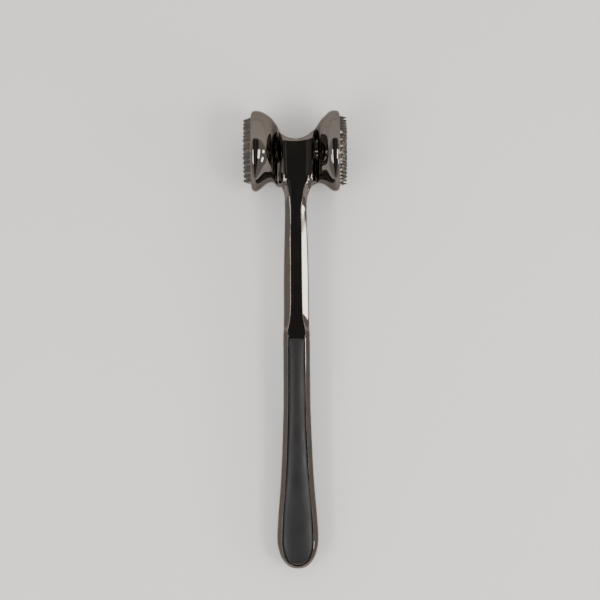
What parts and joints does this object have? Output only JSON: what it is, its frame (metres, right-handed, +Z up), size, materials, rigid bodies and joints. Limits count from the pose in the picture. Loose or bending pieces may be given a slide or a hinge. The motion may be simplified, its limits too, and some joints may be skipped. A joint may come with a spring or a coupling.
{
  "type": "meat mallet",
  "caption": "Double-faced meat mallet: a plated casting with hollow bells, coarse and fine toothed plates, and a long handle with soft-touch inlays.",
  "frame": {"origin": "centre of the bounding box, on the floor that the mallet lies on", "axes": "+Y along the handle from grip end to head, +X along the head from the coarse to the fine face, +Z up"},
  "size_m": [0.0566, 0.2498, 0.0443],
  "materials": {
    "black_nickel_casting": "black-nickel plating, mirror bright",
    "black_nickel_teeth": "black-nickel plating, a little duller",
    "soft_touch_grip": "soft-touch matt black",
    "steel_fastener": "zinc-plated steel",
    "seal_rubber": "matt moulded rubber",
    "adhesive_foam": "double-sided foam tape"
  },
  "bodies": {
    "root": {"body_casting": "black_nickel_casting", "coarse_tooth_plate": "black_nickel_teeth", "fine_tooth_plate": "black_nickel_teeth", "coarse_plate_seal": "seal_rubber", "fine_plate_seal": "seal_rubber", "plate_tie_stud": "steel_fastener", "plate_dowel": "steel_fastener", "lock_washer": "steel_fastener", "front_grip_panel": "soft_touch_grip", "rear_grip_panel": "soft_touch_grip", "front_panel_gasket": "seal_rubber", "rear_adhesive_pad": "adhesive_foam", "panel_screw_upper": "steel_fastener", "panel_screw_middle": "steel_fastener", "panel_screw_lower": "steel_fastener"}
  },
  "joints": []
}
